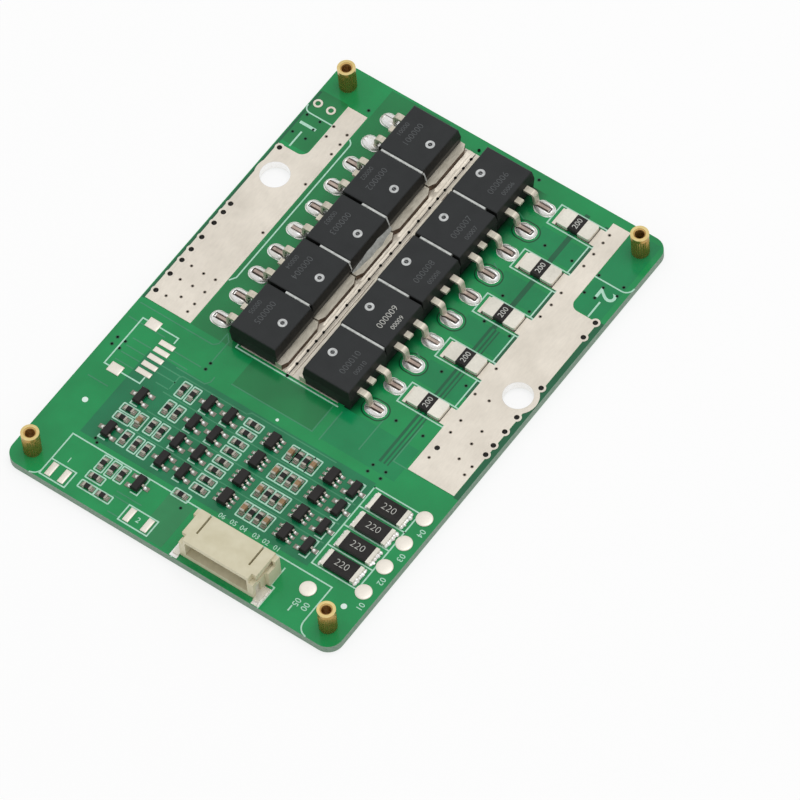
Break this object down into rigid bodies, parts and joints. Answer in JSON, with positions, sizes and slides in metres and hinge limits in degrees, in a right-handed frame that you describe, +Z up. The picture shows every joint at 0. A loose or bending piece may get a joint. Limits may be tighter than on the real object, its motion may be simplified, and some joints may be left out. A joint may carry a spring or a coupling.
{
  "type": "battery management board",
  "caption": "Flat rectangular circuit board with two rows of power transistors, tinned power pads with wire holes, a side-entry plug socket and tapped corner standoffs.",
  "frame": {"origin": "centre of the board's underside", "axes": "+Y along the board from the plug end to the transistor end, +X across the board from the pack pad to the battery pad, +Z up out of the component side"},
  "size_m": [0.0636, 0.09, 0.0067],
  "materials": {
    "laminate": "glossy green solder mask over glass-epoxy laminate",
    "tinned_copper": "levelled solder on copper, faint scratches",
    "solder": "bright solder",
    "tinned_frame": "satin tinned copper",
    "tinned_ends": "bright tinned metal",
    "black_epoxy": "satin black moulding compound",
    "small_epoxy": "dark moulding compound",
    "sealant": "pale sealing compound",
    "resistor_film": "dark glazed film",
    "capacitor_ceramic": "beige-brown ceramic",
    "ivory_nylon": "ivory nylon",
    "brass": "knurled bare brass"
  },
  "bodies": {
    "root": {"circuit_board": "laminate", "pack_pad": "tinned_copper", "battery_pad": "tinned_copper", "plated_rings": "tinned_copper", "wire_pads": "tinned_copper", "drain_pad": "tinned_copper", "lead_solder": "solder", "shunt_pads": "tinned_copper", "spare_pads": "tinned_copper", "chip_pads": "solder", "small_lead_pads": "solder", "gap_sealant": "sealant", "shunt_terminals": "tinned_ends", "balance_terminals": "tinned_ends", "transistor_cases": "small_epoxy", "transistor_leads": "tinned_ends", "driver_cases": "small_epoxy", "driver_leads": "tinned_ends", "chip_resistors": "resistor_film", "chip_capacitors": "capacitor_ceramic", "chip_terminals": "tinned_ends", "socket_housing": "ivory_nylon", "socket_pads": "solder", "socket_pins": "tinned_ends", "socket_nails": "tinned_ends", "left_mosfet_case_1": "black_epoxy", "left_mosfet_frame_1": "tinned_frame", "right_mosfet_case_1": "black_epoxy", "right_mosfet_frame_1": "tinned_frame", "shunt_resistor_1": "resistor_film", "left_mosfet_case_2": "black_epoxy", "left_mosfet_frame_2": "tinned_frame", "right_mosfet_case_2": "black_epoxy", "right_mosfet_frame_2": "tinned_frame", "shunt_resistor_2": "resistor_film", "left_mosfet_case_3": "black_epoxy", "left_mosfet_frame_3": "tinned_frame", "right_mosfet_case_3": "black_epoxy", "right_mosfet_frame_3": "tinned_frame", "shunt_resistor_3": "resistor_film", "left_mosfet_case_4": "black_epoxy", "left_mosfet_frame_4": "tinned_frame", "right_mosfet_case_4": "black_epoxy", "right_mosfet_frame_4": "tinned_frame", "shunt_resistor_4": "resistor_film", "left_mosfet_case_5": "black_epoxy", "left_mosfet_frame_5": "tinned_frame", "right_mosfet_case_5": "black_epoxy", "right_mosfet_frame_5": "tinned_frame", "shunt_resistor_5": "resistor_film", "balance_resistor_1": "resistor_film", "standoff_1": "brass", "balance_resistor_2": "resistor_film", "standoff_2": "brass", "balance_resistor_3": "resistor_film", "standoff_3": "brass", "balance_resistor_4": "resistor_film", "standoff_4": "brass"}
  },
  "joints": []
}
